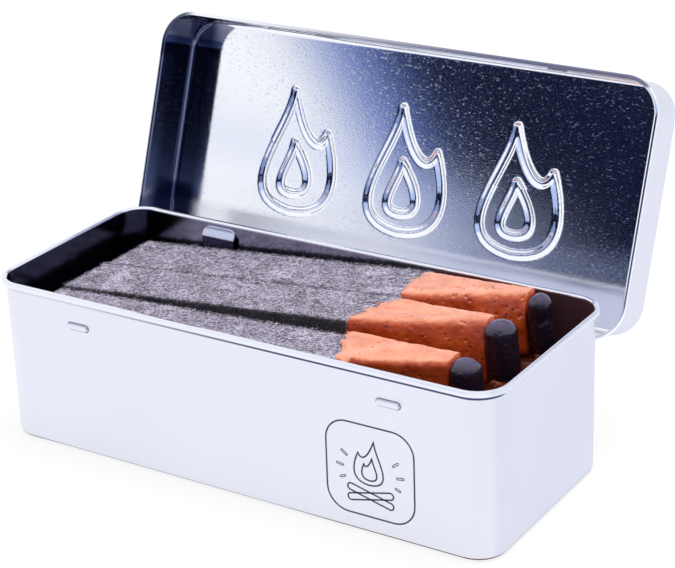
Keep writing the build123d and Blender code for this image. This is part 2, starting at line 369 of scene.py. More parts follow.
def make_camera():
    data = bpy.data.cameras.new("camera")
    data.lens = LENS
    data.clip_start, data.clip_end = CLIP
    camera = bpy.data.objects.new("camera", data)
    back = Vector((
        math.sin(AZIMUTH) * math.cos(ELEVATION),
        -math.cos(AZIMUTH) * math.cos(ELEVATION),
        math.sin(ELEVATION),
    ))
    right = Vector((0, 0, 1)).cross(back).normalized()
    up = back.cross(right)
    side = math.cos(ROLL) * right + math.sin(ROLL) * up
    top = math.cos(ROLL) * up - math.sin(ROLL) * right
    turn = Matrix((side, top, back)).transposed().to_4x4()
    camera.matrix_world = Matrix.Translation(TARGET + back * DISTANCE) @ turn
    scene.collection.objects.link(camera)
    scene.camera = camera


def make_key_light():
    """Square lamp above the tin, left out of reflections."""
    data = bpy.data.lights.new("key", "AREA")
    data.shape = "RECTANGLE"
    data.size = KEY_SIZE
    data.size_y = KEY_SIZE
    data.energy = KEY_POWER
    lamp = bpy.data.objects.new("key", data)
    lamp.location = KEY_PLACE
    direction = Vector(KEY_AIM) - Vector(KEY_PLACE)
    lamp.rotation_mode = "QUATERNION"
    lamp.rotation_quaternion = direction.to_track_quat("-Z", "Y")
    lamp.visible_glossy = False
    scene.collection.objects.link(lamp)


class Shader:
    """Small helper that adds and joins the nodes of one material."""

    def __init__(self, tree):
        self.tree = tree
        self.tree.nodes.clear()

    def add(self, kind, inputs=None, **settings):
        node = self.tree.nodes.new(kind)
        for key, value in settings.items():
            setattr(node, key, value)
        for key, value in (inputs or {}).items():
            self.feed(node, key, value)
        return node

    def feed(self, node, key, value):
        socket = node.inputs[key]
        if isinstance(value, bpy.types.NodeSocket):
            self.tree.links.new(value, socket)
        elif isinstance(value, bpy.types.Node):
            self.tree.links.new(value.outputs[0], socket)
        else:
            socket.default_value = value

    def math(self, operation, first, second=0.0, clamp=False):
        node = self.add("ShaderNodeMath", {0: first, 1: second}, operation=operation)
        node.use_clamp = clamp
        return node.outputs[0]

    def product(self, first, *others):
        for other in others:
            first = self.math("MULTIPLY", first, other)
        return first

    def length(self, first, second):
        squares = self.math("ADD", self.product(first, first), self.product(second, second))
        return self.math("SQRT", squares)

    def ramp(self, value, span, start=0.0, end=1.0):
        """Smooth fade from start to end while the value crosses the span."""
        node = self.add("ShaderNodeMapRange",
                        {0: value, 1: span[0], 2: span[1], 3: start, 4: end})
        node.interpolation_type = "SMOOTHSTEP"
        return node.outputs[0]

    def reach(self, value, span, start=0.0, end=1.0):
        """The same fade over a span in millimetres."""
        return self.ramp(value, (span[0] * MM, span[1] * MM), start, end)

    def mix(self, factor, first, second):
        node = self.add("ShaderNodeMix", {0: factor}, data_type="RGBA")
        self.feed(node, 6, first)
        self.feed(node, 7, second)
        return node.outputs[2]

    def blend(self, factor, first, second):
        """Mix of two shader nodes."""
        node = self.add("ShaderNodeMixShader", {0: factor})
        self.feed(node, 1, first)
        self.feed(node, 2, second)
        return node

    def noise(self, look, vector=None):
        scale, detail, rough = look
        if vector is None:
            vector = self.place()
        inputs = {"Vector": vector, "Scale": scale, "Detail": detail, "Roughness": rough}
        return self.add("ShaderNodeTexNoise", inputs).outputs[0]

    def place(self, scale=None):
        spot = self.add("ShaderNodeTexCoord").outputs["Object"]
        if scale is None:
            return spot
        node = self.add("ShaderNodeMapping", {"Vector": spot, "Scale": scale})
        return node.outputs[0]

    def axes(self, vector):
        """X, Y and Z of a vector."""
        return tuple(self.add("ShaderNodeSeparateXYZ", {0: vector}).outputs)

    def facing(self):
        """X, Y and Z of the surface's normal."""
        return self.axes(self.add("ShaderNodeNewGeometry").outputs["Normal"])

    def bump(self, height, look):
        strength, depth = look
        inputs = {"Strength": strength, "Distance": depth * MM, "Height": height}
        return self.add("ShaderNodeBump", inputs).outputs[0]

    def satin(self):
        """Cloudy tone, roughness and fine grain of white tinplate."""
        cloud = self.noise(SATIN_CLOUD)
        rough = self.ramp(cloud, (0.2, 0.8), *SATIN_ROUGH)
        return cloud, rough, self.bump(self.noise(SATIN_GRAIN), SATIN_BUMP)

    def finish(self, shader, output="ShaderNodeOutputMaterial"):
        self.feed(self.add(output), 0, shader)


def new_material(name):
    material = bpy.data.materials.new(name)
    material.use_nodes = True
    return material, Shader(material.node_tree)


def inside_mask(net, x, y, inset):
    """1 inside the tin's wall, seen from above, else 0."""
    reach = []
    for place, size in ((x, BODY_LENGTH), (y, BODY_WIDTH)):
        straight = (size / 2 - BODY_CORNER) * MM
        past = net.math("SUBTRACT", net.math("ABSOLUTE", place), straight)
        reach.append(net.math("MAXIMUM", past, 0.0))
    return net.math("LESS_THAN", net.length(*reach), (BODY_CORNER - inset) * MM)


def nub_crease_shade(net, x, y, z):
    """Painted shade along a fine crease round each nub pressed in the front."""
    along = net.math("SUBTRACT", net.math("ABSOLUTE", x), NUB_SPACING / 2 * MM)
    along = net.math("SUBTRACT", net.math("ABSOLUTE", along), NUB_HALF * MM)
    along = net.math("MAXIMUM", along, 0.0)
    above = net.math("SUBTRACT", z, NUB_HEIGHT * MM)
    off_edge = net.math("SUBTRACT", net.length(along, above), NUB_RADIUS * MM)
    line = net.reach(net.math("ABSOLUTE", off_edge), CREASE_SPAN)
    front = net.math("LESS_THAN", y, (SHEET - BODY_WIDTH / 2) * MM)
    return net.product(line, front, CREASE_SHARE)


def rim_shade(net, x, y, z):
    """Shaded line under the rolled rim of the front, strongest towards the right."""
    below = net.math("SUBTRACT", z, (BODY_HEIGHT - RIM_ROLL - SHADE_DROP) * MM)
    line = net.reach(net.math("ABSOLUTE", below), SHADE_SPAN)
    return net.product(line, net.reach(x, SHADE_RUN, *SHADE_SHARES), net.reach(y, SHADE_FRONT))


def tin_material():
    """Satin tinplate outside with a brighter rim, bare polished metal inside; painted shade at the
    right end, the left end inside, round the nubs and under the rim, and a maroon painted reflection
    of the orange heads inside at the right.
    """
    material, net = new_material("satin_tinplate")
    cloud, rough, bump = net.satin()
    x, y, z = net.axes(net.place())
    inner_tone = net.mix(cloud, *INNER_TONES)
    # painted shade: the left end inside is near black
    inner_tone = net.mix(net.reach(x, INNER_LEFT), inner_tone, INNER_LEFT_SHADE_TONE)
    # painted reflection of the orange heads inside at the right, less metallic and rougher there
    head_reflection = net.product(net.reach(x, HEAD_REFLECTION_RUN), HEAD_REFLECTION_SHARE)
    inner_tone = net.mix(head_reflection, inner_tone, HEAD_REFLECTION_TONE)
    outer_tone = net.mix(cloud, *TIN_TONES)
    # painted shade round the nubs
    outer_tone = net.mix(nub_crease_shade(net, x, y, z), outer_tone, CREASE_SHADE_TONE)
    # painted shade: the right end of the outside is darker
    outer_tone = net.mix(net.reach(x, RIGHT_RUN), outer_tone, TIN_RIGHT_SHADE_TONE)
    outer_tone = net.mix(rim_shade(net, x, y, z), outer_tone, SHADE_TONE)
    lip = net.math("LESS_THAN", z, (BODY_HEIGHT - INNER_DROP) * MM)
    inside = net.product(inside_mask(net, x, y, SHEET / 2), lip)
    rim = net.math("GREATER_THAN", z, (BODY_HEIGHT - RIM_ROLL - RIM_EASE) * MM)
    rim = net.product(rim, net.math("SUBTRACT", 1.0, inside))
    dull = net.product(head_reflection, inside)
    rough = net.math("SUBTRACT", rough, net.product(inside, INNER_GLOSS))
    rough = net.math("SUBTRACT", rough, net.product(rim, RIM_GLOSS))
    rough = net.math("ADD", rough, net.product(dull, HEAD_REFLECTION_ROUGH))
    metal = net.math("SUBTRACT", 1.0, net.product(dull, HEAD_REFLECTION_DULL))
    net.finish(net.add("ShaderNodeBsdfPrincipled", {
        "Base Color": net.mix(inside, outer_tone, inner_tone), "Metallic": metal,
        "Roughness": rough, "Normal": bump,
    }))
    return material


def lid_material():
    """Bright tinplate with a fine rolled grain, on the lid's inner face and bead, with painted shade
    and painted reflections at fixed places.
    """
    material, net = new_material("grained_tinplate")
    rolled = net.place(ROLLED_STRETCH)
    grain = net.noise(ROLLED_GRAIN, rolled)
    speck = net.ramp(net.noise(ROLLED_SPECK, rolled), SPECK_RANGE)
    x, _, z = net.axes(net.place())
    colour = net.mix(net.noise(ROLLED_CLOUD), *LID_TONES)
    # painted dark reflection on the left wall, darkest at its two corners
    ends = net.math("MAXIMUM", net.reach(z, WALL_TOP), net.reach(z, WALL_FOOT))
    ends = net.math("MAXIMUM", ends, WALL_SHARE)
    colour = net.mix(net.product(net.reach(x, WALL_SPAN), ends), colour, LID_WALL_REFLECTION_TONE)
    # painted shade on the front bead, darker towards the right
    edge = net.product(net.reach(z, BEAD_SPAN), net.reach(x, BEAD_RUN), BEAD_SHARE)
    colour = net.mix(edge, colour, LID_BEAD_SHADE_TONE)
    rough = net.ramp(grain, (0.3, 0.7), *ROLLED_ROUGH)
    rough = net.math("ADD", rough, net.product(speck, SPECK_ROUGH))
    # duller towards the hinge; left of the middle a less metallic patch shows the lid's own pale
    # tone, as a painted reflection
    rough = net.math("ADD", rough, net.reach(z, DULL_SPAN, 0.0, DULL_ROUGH))
    pale_reflection = net.product(net.reach(z, PALE_REFLECTION_SPAN, 0.0, PALE_REFLECTION_SHARE), net.reach(x, PALE_REFLECTION_RUN),
                       net.reach(x, PALE_REFLECTION_END))
    net.finish(net.add("ShaderNodeBsdfPrincipled", {
        "Base Color": colour, "Metallic": net.math("SUBTRACT", 1.0, pale_reflection), "Roughness": rough,
        "Normal": net.bump(net.math("ADD", grain, speck), ROLLED_BUMP),
    }))
    return material


def lid_outside_material():
    """Satin white tinplate of the lid's outer face."""
    material, net = new_material("satin_lid")
    cloud, rough, bump = net.satin()
    net.finish(net.add("ShaderNodeBsdfPrincipled", {
        "Base Color": net.mix(cloud, *LID_OUTER_TONES), "Metallic": 1.0, "Roughness": rough,
        "Normal": bump,
    }))
    return material


def strap_material():
    """Spring steel, pale on its crank as a painted highlight and darker on the plate below as painted
    shade.
    """
    material, net = new_material("bright_strap")
    streak = net.noise(STREAK_NOISE, net.place(STREAK_STRETCH))
    x, _, z = net.axes(net.place())
    crank_highlight = net.product(net.reach(z, CRANK_SPAN), net.reach(x, CRANK_RUN, 1.0, CRANK_RIGHT_SHARE))
    metal = net.math("SUBTRACT", 1.0, net.product(crank_highlight, CRANK_DULL))
    net.finish(net.add("ShaderNodeBsdfPrincipled", {
        "Base Color": net.mix(crank_highlight, *STRAP_SHADE_AND_HIGHLIGHT_TONES), "Metallic": metal,
        "Roughness": net.ramp(streak, (0.3, 0.7), *STREAK_ROUGH),
        "Normal": net.bump(streak, STREAK_BUMP),
    }))
    return material


def felt_material(name, tones):
    """Mottled fibre felt, nearly black on the faces that look to the front or the rear, as painted
    shade.
    """
    material, net = new_material(name)
    fine = net.noise(FELT_FINE)
    clump = net.ramp(net.noise(FELT_CLUMP), (0.3, 0.7), 0.0, 0.30)
    island = net.add("ShaderNodeNewGeometry").outputs["Random Per Island"]
    tone = net.math("ADD", net.ramp(fine, (0.38, 0.62), 0.0, 0.58), clump)
    tone = net.math("ADD", tone, net.product(island, 0.22))
    flank_shade = net.ramp(net.math("ABSOLUTE", net.facing()[1]), (0.55, 0.9), 0.0, 0.85)
    net.finish(net.add("ShaderNodeBsdfPrincipled", {
        "Base Color": net.mix(flank_shade, net.mix(tone, *tones), FLANK_SHADE_TONE), "Roughness": 0.95,
        "Sheen Weight": 0.2, "Specular IOR Level": 0.15, "Normal": net.bump(fine, FELT_BUMP),
    }))
    return material


def coat_material():
    """Dipped orange wax, pale where it faces up as a painted sheen, a little mottled, with small pits
    darkened by painted shade.
    """
    material, net = new_material("dipped_coat")
    cloud = net.noise(COAT_CLOUD)
    fine = net.noise(COAT_FINE)
    # painted sheen: paler where the head faces up
    top_sheen = net.product(net.ramp(net.facing()[2], (0.55, 0.96)),
                        net.ramp(cloud, (0.25, 0.75), 0.55, 1.0))
    colour = net.mix(net.ramp(cloud, (0.3, 0.7)), *COAT_TONES)
    colour = net.mix(top_sheen, colour, TOP_SHEEN_TONE)
    cell = net.add("ShaderNodeTexVoronoi", {"Vector": net.place(), "Scale": COAT_CELL})
    chance = net.add("ShaderNodeSeparateColor", {0: cell.outputs["Color"]})
    picked = net.math("GREATER_THAN", chance.outputs[0], net.ramp(top_sheen, (0.0, 1.0), 0.72, 0.9))
    pit = net.product(net.ramp(cell.outputs["Distance"], (0.30, 0.12)), picked)
    height = net.math("SUBTRACT", net.product(fine, 0.4), pit)
    net.finish(net.add("ShaderNodeBsdfPrincipled", {
        # painted shade darkens the pits
        "Base Color": net.mix(net.product(pit, 0.8), colour, PIT_SHADE_TONE),
        "Roughness": net.ramp(fine, (0.3, 0.7), 0.40, 0.55), "Specular IOR Level": 0.3,
        "Coat Weight": 0.9, "Coat Roughness": 0.12, "Coat IOR": 1.5,
        "Normal": net.bump(height, COAT_BUMP),
    }))
    return material


def tip_material():
    """Glossy plum-black striking compound with a lumpy skin, bluish where it faces up as a painted
    reflection.
    """
    material, net = new_material("striking_tip")
    colour = net.mix(net.noise(TIP_CLOUD), *TIP_TONES)
    colour = net.mix(net.ramp(net.facing()[2], (0.35, 1.0)), colour, TIP_TOP_SHEEN_TONE)
    net.finish(net.add("ShaderNodeBsdfPrincipled", {
        "Base Color": colour, "Roughness": 0.42, "Specular IOR Level": 0.3, "Coat Weight": 0.8,
        "Coat Roughness": 0.06, "Normal": net.bump(net.noise(TIP_LUMP), TIP_BUMP),
    }))
    return material


def striker_material(name, tones, look):
    """Dull board or grit under the heads."""
    material, net = new_material(name)
    grit = net.noise(look)
    net.finish(net.add("ShaderNodeBsdfPrincipled", {
        "Base Color": net.mix(grit, *tones), "Roughness": 0.85,
        "Normal": net.bump(grit, GRIT_BUMP),
    }))
    return material


def print_material():
    """Matt ink, a little worn."""
    material, net = new_material("dark_print")
    wear = net.noise(PRINT_WEAR)
    net.finish(net.add("ShaderNodeBsdfPrincipled", {
        "Base Color": net.mix(wear, *PRINT_TONES),
        "Roughness": net.ramp(wear, (0.3, 0.7), 0.4, 0.6),
    }))
    return material


def set_material(target, material):
    target.data.materials.clear()
    target.data.materials.append(material)


def mesh_object(name, points, faces, material, smooth=True):
    mesh = bpy.data.meshes.new(name)
    mesh.from_pydata([tuple(p) for p in points], [], faces)
    mesh.update()
    if smooth:
        mesh.polygons.foreach_set("use_smooth", [True] * len(mesh.polygons))
    piece = bpy.data.objects.new(name, mesh)
    scene.collection.objects.link(piece)
    mesh.materials.append(material)
    return piece


def put(piece, body, slot_name, *replaced):
    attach(piece, body)
    if replaced:
        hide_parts(*replaced)


def ease(share):
    """Smooth step from nought to one."""
    return share * share * (3 - 2 * share)


def tube_faces(rings, around):
    """Quads between rings of points, each ring closed."""
    faces = []
    for ring in range(rings - 1):
        for step in range(around):
            after = (step + 1) % around
            low = ring * around
            high = low + around
            faces.append((low + step, low + after, high + after, high + step))
    return faces


def rounded_ring(y0, y1, z0, z1, radius, around):
    """Evenly spaced points round a rectangle with rounded corners, as rows of y and z."""
    radius = min(radius, (y1 - y0) / 2, (z1 - z0) / 2)
    spans = []
    corners = ((y1 - radius, z0 + radius, -90), (y1 - radius, z1 - radius, 0),
               (y0 + radius, z1 - radius, 90), (y0 + radius, z0 + radius, 180))
    for y, z, start in corners:
        for step in range(CORNER_STEPS + 1):
            angle = math.radians(start + 90 * step / CORNER_STEPS)
            spans.append((y + radius * math.cos(angle), z + radius * math.sin(angle)))
    spans.append(spans[0])
    line = np.array(spans)
    run = np.concatenate([[0], np.cumsum(np.hypot(*np.diff(line, axis=0).T))])
    wanted = np.linspace(0, run[-1], around, endpoint=False)
    return np.stack([np.interp(wanted, run, line[:, 0]), np.interp(wanted, run, line[:, 1])], 1)


def ring_at(x, ring):
    """Points of a ring of y and z at one distance along the stick."""
    return np.column_stack([np.full(len(ring), x), ring])


def shrink_cap(ring, steps):
    """Rings that close an end, each drawn in further to the middle."""
    middle = ring.mean(axis=0)
    shares = [max(1 - step / steps, CAP_HOLE) for step in range(1, steps + 1)]
    return [middle + (ring - middle) * share for share in shares]


def unit_rows(rows):
    return rows / np.maximum(np.linalg.norm(rows, axis=1), 1e-6)[:, None]


def fractal(points, scale, octaves, seed):
    """Smooth noise from -1 to 1 at each point."""
    shift = SEED_SHIFT * seed
    values = [noise.fractal(Vector(p) * scale + shift, 1.0, 2.0, octaves) for p in points]
    return np.array(values)


def lay_stick(points, column, layer):
    """Move points from a stick's own frame, in millimetres, to the tin's frame in metres."""
    middle = (column - 1) * (STICK_WIDTH + STICK_GAP)
    start = -BODY_LENGTH / 2 + SHEET + TAIL_ROOM[column]
    pitch = math.radians(PITCHES[column])
    lift = layer * (STICK_HEIGHT + LAYER_GAP)
    x = points[:, 0]
    z = points[:, 2] + lift
    placed = np.stack([
        start + x * math.cos(pitch) - z * math.sin(pitch),
        middle + points[:, 1],
        SHEET + SEAT_GAP + x * math.sin(pitch) + z * math.cos(pitch),
    ], 1)
    return placed * MM


def slant_dip(points, column, start, reach):
    """Shift points along X near the dip line, so that it slants across the stick."""
    across = np.clip(points[:, 1] / STICK_WIDTH + 0.5, 0, 1)
    shift = DIP_NEAR[column] + (DIP_FAR[column] - DIP_NEAR[column]) * across
    points[:, 0] += shift * ease(np.clip(1 - (points[:, 0] - start) / reach, 0, 1))


def felt_limits(column):
    """Front and rear side of a felt block as dressed."""
    half = STICK_WIDTH / 2
    return FELT_FRONT_INSET[column] - half, half - FELT_REAR_INSET[column]


def settle_felt(points, column):
    """Let a block sink and narrow a little towards its head, and slant its dipped end."""
    share = np.clip(points[:, 0] / FELT_LENGTH, 0, 1)
    points[:, 2] -= FELT_SAG[column] * share * np.clip(points[:, 2] / STICK_HEIGHT, 0, 1)
    across = np.clip(points[:, 1] / STICK_WIDTH + 0.5, 0, 1)
    points[:, 1] -= FELT_NARROWING[column] * share * across
    slant_dip(points, column, FELT_LENGTH, -DIP_BLEND)


def felt_points(seed, layer, column):
    """Body of a felt block: rings along X, closed at both ends."""
    front, rear = felt_limits(column)
    around, rings = FELT_MESH[layer]
    inset = FELT_INSET
    base = rounded_ring(front, rear, inset, STICK_HEIGHT - inset, FELT_EDGE, around)
    rows = [ring_at(inset, ring) for ring in reversed(shrink_cap(base, FELT_TAIL_RINGS))]
    for step in range(rings):
        rows.append(ring_at(inset + (FELT_LENGTH - inset) * step / (rings - 1), base))
    rows += [ring_at(FELT_LENGTH, ring) for ring in shrink_cap(base, FELT_END_RINGS)]
    points = np.concatenate(rows)
    out = points - np.array([0, (front + rear) / 2, STICK_HEIGHT / 2])
    side = np.abs(out[:, 1]) / (rear - front) > np.abs(out[:, 2]) / STICK_HEIGHT
    normal = np.zeros_like(points)
    normal[side, 1] = np.sign(out[side, 1])
    normal[~side, 2] = np.sign(out[~side, 2])
    normal[points[:, 0] <= inset + 0.01] = (-1, 0, 0)
    move = np.zeros(len(points))
    for number, (scale, height) in enumerate(FELT_WAVES):
        move += fractal(points, scale, 3, seed + number) * height
    move = np.clip(move, *FELT_MOVE)
    move = np.where(side, np.minimum(move, FELT_SIDE_MOVE), move)
    points = points + normal * move[:, None]
    settle_felt(points, column)
    return points, tube_faces(len(rows), around)


def fibre_root(random, front, rear):
    """Where a hair starts, the way it stands off the felt, and its share of the full length."""
    top = STICK_HEIGHT - FELT_INSET
    pick = random.random()
    x = random.uniform(0.1, FELT_LENGTH + 0.3)
    across = random.uniform(front + 0.1, rear - 0.1)
    up = random.uniform(0.3, top - 0.2)
    if pick < 0.78:
        return (x, across, top), (0, 0, 1.0), 1.0
    if pick < 0.81:
        return (x, front, up), (0, -1.0, 0), 0.5
    if pick < 0.88:
        side = random.choice([-1, 1])
        edge = front + 0.15 if side < 0 else rear - 0.15
        return (x, edge, top - 0.05), (0, side * 0.5, 0.85), 0.7
    if pick < 0.92:
        return (x, rear, up), (0, 1.0, 0), 0.5
    if pick < 0.96:
        return (0.25, across, up), (-1.0, 0, 0), 0.6
    return (0.3, across, top - 0.05), (-0.4, 0, 0.9), 0.7


def fibres(seed, layer, column):
    """Short curved hairs lying on a felt block, as ribbons that narrow to a point."""
    random = np.random.default_rng(seed)
    front, rear = felt_limits(column)
    points = []
    faces = []
    for _ in range(FIBRE_COUNTS[layer]):
        root, normal, size = fibre_root(random, front, rear)
        spot = np.array(root)
        normal = np.array(normal)
        flow = random.normal(size=3)
        flow -= normal * flow.dot(normal)
        flow /= np.linalg.norm(flow)
        side_way = np.cross(normal, flow)
        length = random.uniform(*FIBRE_LENGTH) * size
        rise = random.uniform(*FIBRE_RISE) ** FIBRE_RISE_POWER * size
        bend = random.uniform(-FIBRE_BEND, FIBRE_BEND)
        width = random.uniform(*FIBRE_WIDTH)
        twist = bend * FIBRE_TWIST
        edge = side_way * math.cos(twist) + normal * math.sin(twist)
        base = len(points)
        for step in range(FIBRE_STEPS + 1):
            share = step / FIBRE_STEPS
            up = FIBRE_ROOT + rise * 2 * share * (1 - share * FIBRE_DROOP)
            middle = spot + flow * length * share + side_way * bend * share * share + normal * up
            half = width * (1 - share * FIBRE_POINT) / 2
            points.append(middle - edge * half)
            points.append(middle + edge * half)
        for corner in range(base, base + 2 * FIBRE_STEPS, 2):
            faces.append((corner, corner + 1, corner + 3, corner + 2))
    points = np.array(points)
    settle_felt(points, column)
    return points, faces


def head_sides(x):
    """Front and rear edge of the dipped head, and its top, at a distance along it."""
    rear = STICK_WIDTH / 2
    share = min(max(x / HEAD_LENGTH, 0), 1)
    front = -rear + (2 * rear - HEAD_END_WIDTH) * share
    front -= 4 * HEAD_BULGE * share * (1 - share)
    top = STICK_HEIGHT - HEAD_TAPER * share
    return front, rear, top


def coat_ring(x, column, around):
    """Section of a dipped head at a distance along it, its front edge leaning in at the top."""
    front, rear, top = head_sides(x)
    inset = COAT_INSET + COAT_LIP_INSET * max(0.0, -x / COAT_LIP)
    share = min(max(x / HEAD_LENGTH, 0), 1)
    ring = rounded_ring(front + inset, rear - inset, inset, top - inset, COAT_EDGE, around)
    above = np.clip((ring[:, 1] - LEAN_FLOOR * top) / ((1 - LEAN_FLOOR) * top), 0, 1)
    ahead = np.clip((rear - ring[:, 0]) / (rear - front), 0, 1)
    lean = HEAD_LEAN[column] * (LEAN_FLOOR + (1 - LEAN_FLOOR) * share)
    ring[:, 0] += lean * above * above * ahead
    return ring


def coat_points(seed, layer, column):
    """Outer skin of a dipped head with pits, starting in a ragged lip over the felt."""
    random = np.random.default_rng(seed)
    around, rings = COAT_MESH[layer]
    rows = []
    for step in range(rings):
        x = -COAT_LIP + (HEAD_LENGTH + COAT_LIP) * step / (rings - 1)
        rows.append(ring_at(x, coat_ring(x, column, around)))
    rows += [ring_at(HEAD_LENGTH, ring) for ring in shrink_cap(rows[-1][:, 1:], COAT_END_RINGS)]
    points = np.concatenate(rows)
    middle = points.reshape(len(rows), around, 3).mean(axis=1).repeat(around, axis=0)
    out = unit_rows((points - middle) * (0, 1, 1))
    angle = np.arctan2(out[:, 2], out[:, 1])
    ring_spot = np.column_stack([np.cos(angle), np.sin(angle), angle * 0]) * RAGGED_RING
    ragged = fractal(ring_spot, RAGGED_SCALE, 4, seed + 5) * RAGGED_REACH
    points[:, 0] += ragged * np.clip(1 - (points[:, 0] + COAT_LIP) / RAGGED_FADE, 0, 1)
    move = np.zeros(len(points))
    for number, (scale, octaves, height) in enumerate(COAT_WAVES):
        move += fractal(points, scale, octaves, seed + number) * height
    pits = PIT_COUNTS[layer]
    spots = points[random.integers(0, len(points), pits)]
    depths = random.uniform(*PIT_DEPTH, pits)
    widths = random.uniform(*PIT_WIDTH, pits)
    for spot, depth, width in zip(spots, depths, widths):
        gap = np.linalg.norm(points - spot, axis=1)
        move -= depth * np.exp(-(gap / width) ** 4)
    points = points + out * np.minimum(move, COAT_MOVE)[:, None]
    slant_dip(points, column, 0.0, DIP_BLEND)
    points[:, 0] += FELT_LENGTH
    return points, tube_faces(len(rows), around)


def tip_points(seed, layer, column):
    """Rounded upright bar of striking compound."""
    width_share, lumps = TIP_LOOKS[column]
    around, rings = TIP_MESH[layer]
    height = STICK_HEIGHT - HEAD_TAPER
    radius = TIP_DIAMETER / 2
    angles = np.linspace(0, 2 * math.pi, around, endpoint=False)
    across = np.column_stack([np.cos(angles), np.sin(angles)])
    across = np.sign(across) * np.abs(across) ** TIP_SQUARENESS
    rows = []
    for step in range(rings):
        z = height * (1 - math.cos(math.pi * step / (rings - 1))) / 2
        end = max(TIP_CAP - min(z, height - z), 0) / TIP_CAP
        wide = radius * math.sqrt(max(1 - end ** TIP_CAP_POWER, CAP_HOLE ** 2)) * TIP_FIT
        rows.append(np.column_stack([across * wide * width_share, np.full(around, z)]))
    points = np.concatenate(rows)
    out = unit_rows((points - np.array([0, 0, height / 2])) * (1, 1, TIP_FLATNESS))
    coarse, fine = TIP_LUMP_SCALES
    move = fractal(points, coarse, 3, seed) * lumps + fractal(points, fine, 3, seed + 1) * TIP_GRAIN
    points = points + out * np.minimum(move, TIP_MOVE)[:, None]
    points[:, 0] += FELT_LENGTH + HEAD_LENGTH + TIP_OVERHANG - radius
    points[:, 1] += STICK_WIDTH / 2 - radius
    return points, tube_faces(rings, around)


def make_sticks():
    felt = felt_material("felt_block", FELT_TONES)
    hair = felt_material("felt_fibres", FIBRE_TONES)
    coat = coat_material()
    tip = tip_material()
    for layer, layer_name in enumerate(LAYERS):
        for column, column_name in enumerate(COLUMNS):
            name = f"{layer_name}_{column_name}"
            body = f"{name}_stick"
            seed = 10 * layer + column + 1
            points, faces = felt_points(seed, layer, column)
            block = mesh_object(f"{name}_felt", lay_stick(points, column, layer), faces, felt)
            put(block, body, "stick_felt", f"{name}_felt_core")
            points, faces = fibres(seed, layer, column)
            fuzz = mesh_object(f"{name}_fibres", lay_stick(points, column, layer), faces, hair)
            put(fuzz, body, "stick_felt")
            points, faces = coat_points(seed + 30, layer, column)
            skin = mesh_object(f"{name}_coat", lay_stick(points, column, layer), faces, coat)
            put(skin, body, "stick_coat", f"{name}_head_coat")
            points, faces = tip_points(seed + 60, layer, column)
            end = mesh_object(f"{name}_tip", lay_stick(points, column, layer), faces, tip)
            put(end, body, "stick_tip", f"{name}_striking_tip")


def cubic(controls, steps):
    share = np.arange(steps)[:, None] / steps
    rest = 1 - share
    a, b, c, d = (np.array(control) for control in controls)
    return rest**3 * a + 3 * rest**2 * share * b + 3 * rest * share**2 * c + share**3 * d


def flame_line(height):
    return np.concatenate([cubic(side, FLAME_STEPS) for side in FLAME_SIDES]) * height


def drop_line(height):
    return np.concatenate([cubic(side, DROP_STEPS) for side in DROP_SIDES]) * height


def lid_ring(out):
    """Points round the lid, at a distance out from the outer face of its wall."""
    half_width = max(LID_WIDTH / 2 + out, 0.0)
    radius = max(LID_CORNER + out, LID_CORNER_FLOOR * half_width)
    reach = np.array([LID_LENGTH / 2 + out - radius, half_width - radius])
    corners = np.array([(1, 1), (-1, 1), (-1, -1), (1, -1)]) * reach
    sides = (LID_LENGTH - 2 * LID_CORNER, LID_WIDTH - 2 * LID_CORNER)
    parts = []
    for turn, middle in enumerate(corners):
        angles = np.linspace(90 * turn, 90 * turn + 90, LID_CORNER_STEPS, endpoint=False)
        angles = np.radians(angles)
        parts.append(middle + radius * np.column_stack([np.cos(angles), np.sin(angles)]))
        last = math.radians(90 * turn + 90)
        start = middle + radius * np.array([math.cos(last), math.sin(last)])
        steps = round(sides[turn % 2] / LID_GRID)
        share = np.linspace(0, 1, steps, endpoint=False)[:, None]
        parts.append(start + (corners[(turn + 1) % 4] - middle) * share)
    return np.concatenate(parts)


def lid_section():
    """Section of the lid: out along its inner face, round the bead and back along the outer one."""
    reach = LID_WIDTH / 2
    outs = np.linspace(-reach, -LID_BEND, round((reach - LID_BEND) / LID_GRID))
    downs = np.linspace(LID_BEND, LID_DEPTH - LID_BEAD / 2, LID_WALL_ROWS)
    bend = np.radians(np.linspace(0, 90, LID_BEND_STEPS)[1:-1])
    roll = np.radians(np.linspace(*LID_BEAD_TURN, LID_BEAD_STEPS)[1:-1])
    inner = LID_BEND - SHEET
    radius = LID_BEAD / 2 - LID_BEAD_TRIM
    parts = (
        (outs, np.full_like(outs, SHEET)),
        (inner * np.sin(bend) - LID_BEND, LID_BEND - inner * np.cos(bend)),
        (np.full_like(downs, -SHEET), downs),
        (LID_BEAD / 2 - SHEET + radius * np.cos(roll), downs[-1] + radius * np.sin(roll)),
        (np.zeros_like(downs), downs[::-1]),
        (LID_BEND * np.sin(bend[::-1]) - LID_BEND, LID_BEND - LID_BEND * np.cos(bend[::-1])),
        (outs[::-1], np.zeros_like(outs)),
    )
    section = np.concatenate([np.column_stack(part) for part in parts])
    first_wall = len(outs) + len(bend)
    return section, first_wall, len(roll)


def line_distance(spots, line):
    """Shortest distance from each spot to a closed line."""
    best = np.full(len(spots), np.inf)
    for start, end in zip(line, np.roll(line, -1, axis=0)):
        along = end - start
        share = np.clip((spots - start) @ along / (along @ along), 0, 1)
        gap = spots - start - share[:, None] * along
        best = np.minimum(best, np.hypot(gap[:, 0], gap[:, 1]))
    return best


